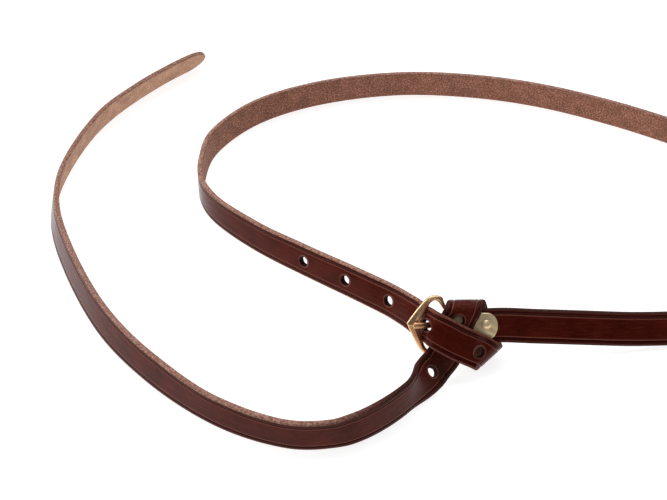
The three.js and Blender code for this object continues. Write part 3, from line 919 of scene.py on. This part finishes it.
def heart_section(width, roundness):
    """Across the frame's metal: flat behind, a ridge in front on the arms, rounded on the lobes."""
    outline = [(0.5, -1.2), (0.2, -1.2), (0.05, -0.95), (0, -0.5), (0, 0.2)]
    for u in (0.05, 0.15, 0.3, 0.44, 0.5, 0.56, 0.7, 0.85, 0.95):
        roof = 0.45 + 1.15 * (1 - abs(2 * u - 1))
        dome = 0.2 + 1.2 * math.sqrt(1 - (2 * u - 1) ** 2)
        outline.append((u, roof + (dome - roof) * roundness))
    outline += [(1, 0.2), (1, -0.5), (0.95, -0.95), (0.8, -1.2)]
    return [((u - 0.5) * width, z) for u, z in outline]


def heart_frame():
    """A bevelled heart with a ridge, joined to its bar, which has a swelling near each end."""
    outer = mirrored_curve(HEART_OUTER, HEART_POINTS_PER_SPAN)
    inner = mirrored_curve(HEART_INNER, HEART_POINTS_PER_SPAN)
    centres, frames, outlines = [], [], []
    for i, (far, near) in enumerate(zip(outer, inner)):
        # The ridge softens from 1.6 spans away from the point, and is quite round 2.2 spans later.
        spans_from_point = abs(i / HEART_POINTS_PER_SPAN - (len(HEART_OUTER) - 1))
        roundness = min(max((spans_from_point - 1.6) / 2.2, 0), 1)
        across = Vector((*(far - near), 0))
        middle = (far + near) / 2
        centres.append(Vector((middle[0], middle[1], 0)))
        frames.append((across.normalized(), Vector((0, 0, 1))))
        outlines.append(heart_section(across.length, roundness))
    heart = sweep("buckle_heart", centres, frames, outlines)
    bar_end = [(BAR_RADIUS, 8), (1.5, 8.6), (1.7, 9.4), (1.5, 10.3), (0.9, 10.85), (0, 11)]
    bar = lathe("bar", [(radius, -height) for radius, height in bar_end[::-1]] + bar_end, METAL_SIDES)
    bar.data.transform(Matrix.Rotation(-math.pi / 2, 4, "X"))
    cut_with(heart, bar, "UNION")
    heart.data.transform(Matrix.Rotation(-rad(FRAME_TILT), 4, "Z"))
    to_frame(heart, hinge_matrix())
    finish_metal(heart, CAST_BRASS)
    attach(heart, "buckle_frame")
    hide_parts("buckle_frame")


def lathe(name, profile, segments):
    """A closed skin turned about z from (radius, height) points, bottom to top or round a ring."""
    vertices, faces = [], []
    rings = []
    for radius, height in profile:
        if radius == 0:
            rings.append([len(vertices)])
            vertices.append((0, 0, height))
            continue
        rings.append(list(range(len(vertices), len(vertices) + segments)))
        for k in range(segments):
            angle = 2 * math.pi * k / segments
            vertices.append((radius * math.cos(angle), radius * math.sin(angle), height))
    for low, high in zip(rings, rings[1:] + ([rings[0]] if profile[0][0] else [])):
        for k in range(segments):
            n = (k + 1) % segments
            corners = [low[k % len(low)], low[n % len(low)], high[n % len(high)], high[k % len(high)]]
            faces.append(tuple(dict.fromkeys(corners)))
    return add_object(name, vertices, [face for face in faces if len(face) > 2])


def finish_metal(piece, material):
    piece.data.materials.clear()
    piece.data.materials.append(material)
    shade(piece, 32)


def tongue():
    """A flattened pin that curves up over the leather, on a ring round the bar."""
    points = smooth_through(PIN_ROUTE, PIN_POINTS_PER_SPAN)
    centres = [Vector((x, 0, z)) for x, z in points]
    frames, outlines = [], []
    for i, centre in enumerate(centres):
        before, after = centres[max(i - 1, 0)], centres[min(i + 1, len(centres) - 1)]
        up = Vector((0, 1, 0)).cross((after - before).normalized()) * -1
        frames.append((Vector((0, 1, 0)), up))
        share = i / (len(centres) - 1)
        left = (centres[-1] - centre).length
        size = PIN_SIZE - PIN_TAPER * share
        if left < size:
            size *= math.sqrt(max(1 - (1 - left / size) ** 2, 0.02))
        turns = [2 * math.pi * k / PIN_SIDES for k in range(PIN_SIDES)]
        wide, high = PIN_WIDTH_SHARE * size, PIN_HEIGHT_SHARE * size
        veer = PIN_VEER * share
        outlines.append([(wide * math.cos(turn) + veer, high * math.sin(turn)) for turn in turns])
    pin = sweep("buckle_tongue_pin", centres, frames, outlines)
    half = RING_WIDTH / 2
    ring = lathe("ring", [(RING_INNER, -half + 0.2), (RING_INNER + 0.3, -half), (RING_OUTER - 0.4, -half),
                          (RING_OUTER, -half + 0.4), (RING_OUTER, half - 0.4), (RING_OUTER - 0.4, half),
                          (RING_INNER + 0.3, half), (RING_INNER, half - 0.2)], METAL_SIDES)
    ring.data.transform(Matrix.Rotation(-math.pi / 2, 4, "X"))
    bore = lathe("bore", [(0, -3), (RING_INNER, -3), (RING_INNER, 3), (0, 3)], METAL_SIDES)
    bore.data.transform(Matrix.Rotation(-math.pi / 2, 4, "X"))
    cut_with(pin, bore, "DIFFERENCE")
    cut_with(pin, ring, "UNION")
    pin.data.transform(Matrix.Rotation(-rad(FRAME_TILT), 4, "Z"))
    to_frame(pin, hinge_matrix())
    finish_metal(pin, PIN_BRASS)
    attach(pin, "buckle_tongue")
    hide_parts("buckle_tongue")


def plate_half_height(leaf_distance):
    """Full height, then a rounded end."""
    left = FOLD_REACH + PLATE_END - BAR_A - leaf_distance
    if left >= PLATE_ROUND:
        return PLATE_HEIGHT / 2
    share = 1 - left / PLATE_ROUND
    return PLATE_HEIGHT / 2 * max(1 - share ** 2.7, 0.002) ** (1 / 2.2)


def folded_sheet(flat):
    """Flat sheet points (distance from the fold's crown, height b, off the sheet) to the knot."""
    placed = []
    for s, b, off in flat:
        side = math.copysign(1, s)
        beyond = abs(s) - FOLD_REACH
        if beyond < 0:
            turn = s / FOLD_RADIUS
            radius = FOLD_RADIUS + off
            placed.append((BAR_A - radius * math.cos(turn), b, radius * math.sin(turn)))
            continue
        a = BAR_A + beyond
        dent = 0.10 * math.sin(0.55 * a + 0.9) * math.cos(0.42 * b + 0.4)
        dent += 0.05 * math.sin(1.3 * b + 0.8 * a)
        dish = -0.16 * math.exp(-((a - RIVET_A) ** 2 + (b - RIVET_B) ** 2) / 14)
        crown = 0.8 * (1 - (b / PLATE_HEIGHT * 2) ** 2)
        lip = -0.12 * min(max((a - PLATE_END + 3.5) / 3.5, 0), 1) ** 2
        shaped = (dent + dish + lip + crown) * min(beyond / 6, 1) if side > 0 else 0
        placed.append((a, b, side * (FOLD_RADIUS + off) + shaped))
    return placed


def plate():
    """A flat sheet with a slot for the tongue, folded over the bar; both leaves grip the strap."""
    reach = FOLD_REACH + PLATE_END - BAR_A
    rounded_from = reach - 1.5
    spaced = [*np.arange(0, rounded_from, SHEET_STEP), *np.linspace(rounded_from, reach, 12)]
    rows = sorted({round(distance, 3) for distance in spaced})
    rows = [-d for d in rows[:0:-1]] + rows
    half_thick = SHEET / 2
    corner = [(-0.25, 1), (-0.07, 0.62), (0, 0), (-0.07, -0.62), (-0.25, -1)]
    vertices, faces = [], []
    for s in rows:
        half = plate_half_height(abs(s))
        inside = max(half - 0.25, 0.01)
        top = [(b, half_thick) for b in np.linspace(-inside, inside, 19)[1:-1]]
        low = [(b, -half_thick) for b in np.linspace(inside, -inside, 19)[1:-1]]
        right = [(max(half + inset, 0.01), share * half_thick) for inset, share in corner]
        left = [(-b, off) for b, off in right[::-1]]
        ring = top + right + low + left
        vertices += [(s, b, off) for b, off in ring]
    count = len(ring)
    for i in range(len(rows) - 1):
        for k in range(count):
            n = (k + 1) % count
            faces.append((i * count + k, (i + 1) * count + k, (i + 1) * count + n, i * count + n))
    faces.append(tuple(range(count)))
    faces.append(tuple(reversed(range((len(rows) - 1) * count, len(rows) * count))))
    sheet = add_object("buckle_folded_plate", vertices, faces)
    slot = lathe("slot", [(0, -2), (SLOT_WIDTH / 2, -2), (SLOT_WIDTH / 2, 2), (0, 2)], METAL_SIDES)
    stretch = (FOLD_REACH + SLOT_REACH) / (SLOT_WIDTH / 2)
    slot.data.transform(Matrix.Translation((0, BAR_B, 0)) @ Matrix.Diagonal((stretch, 1, 1, 1)))
    cut_with(sheet, slot, "DIFFERENCE")
    flat = np.zeros(len(sheet.data.vertices) * 3)
    sheet.data.vertices.foreach_get("co", flat)
    sheet.data.vertices.foreach_set("co", np.array(folded_sheet(flat.reshape(-1, 3))).ravel())
    sheet.data.update()
    to_frame(sheet, KNOT)
    finish_metal(sheet, SHEET_BRASS)
    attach(sheet, "strap")
    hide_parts("buckle_plate")


def rivet():
    """A domed head, and a shank through both leaves that is spread behind the washer."""
    profile = [(0, -RIVET_SEAT - 1.7), (1.7, -RIVET_SEAT - 1.6), (2.15, -RIVET_SEAT - 1.1)]
    profile += [(SHANK_RADIUS, -RIVET_SEAT - 1.0), (SHANK_RADIUS, RIVET_SEAT - 0.1)]
    dome = [(2.1, -0.05), (2.62, 0.25), (HEAD_RADIUS, 0.7), (2.7, 1.2), (2.35, 1.65)]
    dome += [(1.8, 2.0), (1.15, 2.22), (0.55, 2.32), (0, 2.34)]
    profile += [(radius, RIVET_SEAT + height) for radius, height in dome]
    head = lathe("rivet_dome", profile, RIVET_SIDES)
    to_frame(head, KNOT @ Matrix.Translation((RIVET_A, RIVET_B, 0)))
    finish_metal(head, SHEET_BRASS)
    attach(head, "strap")
    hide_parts("rivet")


def rivet_washer():
    """A ring between the back leaf and the spread end of the rivet."""
    ring = [(1.7, -0.8), (3.0, -0.8), (WASHER_RADIUS, -0.6), (WASHER_RADIUS, -0.1), (1.7, -0.1)]
    ring = [(radius, height - RIVET_SEAT) for radius, height in ring]
    washer = lathe("rivet_back_washer", ring, RIVET_SIDES)
    to_frame(washer, KNOT @ Matrix.Translation((RIVET_A, RIVET_B, 0)))
    finish_metal(washer, SHEET_BRASS)
    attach(washer, "strap")
    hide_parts("rivet_washer")


add_camera()
add_floor()
add_lights()
add_strap()
heart_frame()
tongue()
plate()
rivet()
rivet_washer()
